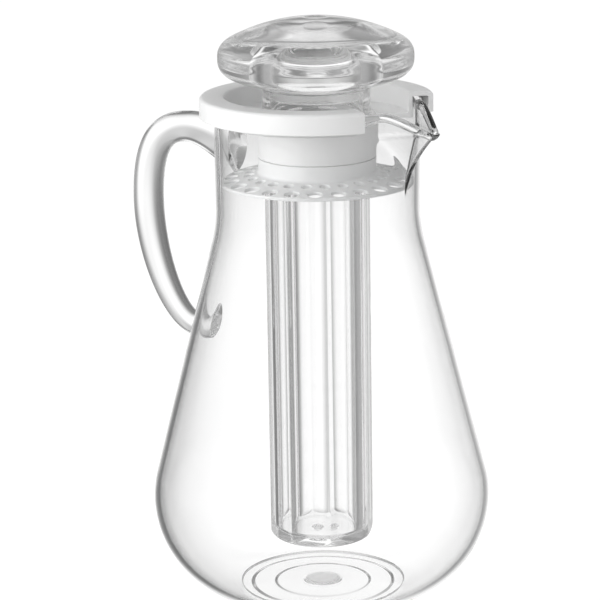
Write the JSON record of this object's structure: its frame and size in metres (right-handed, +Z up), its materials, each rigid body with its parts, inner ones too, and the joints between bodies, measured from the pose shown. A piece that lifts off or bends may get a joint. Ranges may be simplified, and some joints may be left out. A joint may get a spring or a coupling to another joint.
{
  "type": "pitcher with ice core",
  "caption": "Clear wide-bellied table pitcher with a rod handle and pinched spout, a white lift-off lid, a strainer ring and a removable eight-sided ice tube under a domed clear stopper.",
  "frame": {"origin": "middle of the foot ring, on the surface that the pitcher stands on", "axes": "+Z up along the pitcher's axis, +X towards the spout, -X towards the handle"},
  "size_m": [0.1906, 0.1658, 0.2883],
  "materials": {
    "jug_clear": "clear, polished",
    "base_clear": "clear, polished",
    "handle_clear": "clear, polished",
    "lid_white": "white, moulded, lightly polished",
    "strainer_white": "white, moulded, lightly polished",
    "tube_clear": "clear, polished",
    "stopper_clear": "clear, polished, thick",
    "dome_clear": "clear, polished, thick"
  },
  "bodies": {
    "jug": {"jug_body": "jug_clear", "jug_base": "base_clear", "handle": "handle_clear"},
    "lid": {"lid": "lid_white"},
    "strainer": {"strainer": "strainer_white"},
    "tube": {"ice_tube": "tube_clear"},
    "stopper": {"stopper_bowl": "stopper_clear", "stopper_dome": "dome_clear"}
  },
  "joints": [
    {"name": "lid_lift", "type": "slide", "parent": "jug", "child": "lid", "axis": [0, 0, 1], "range_m": [0, 0.225]},
    {"name": "tube_lift", "type": "slide", "parent": "lid", "child": "tube", "axis": [0, 0, 1], "range_m": [0, 0.225]},
    {"name": "stopper_pull", "type": "slide", "parent": "tube", "child": "stopper", "axis": [0, 0, 1], "range_m": [0, 0.02]},
    {"name": "strainer_release", "type": "slide", "parent": "lid", "child": "strainer", "axis": [0, 0, -1], "range_m": [0, 0.012]}
  ]
}
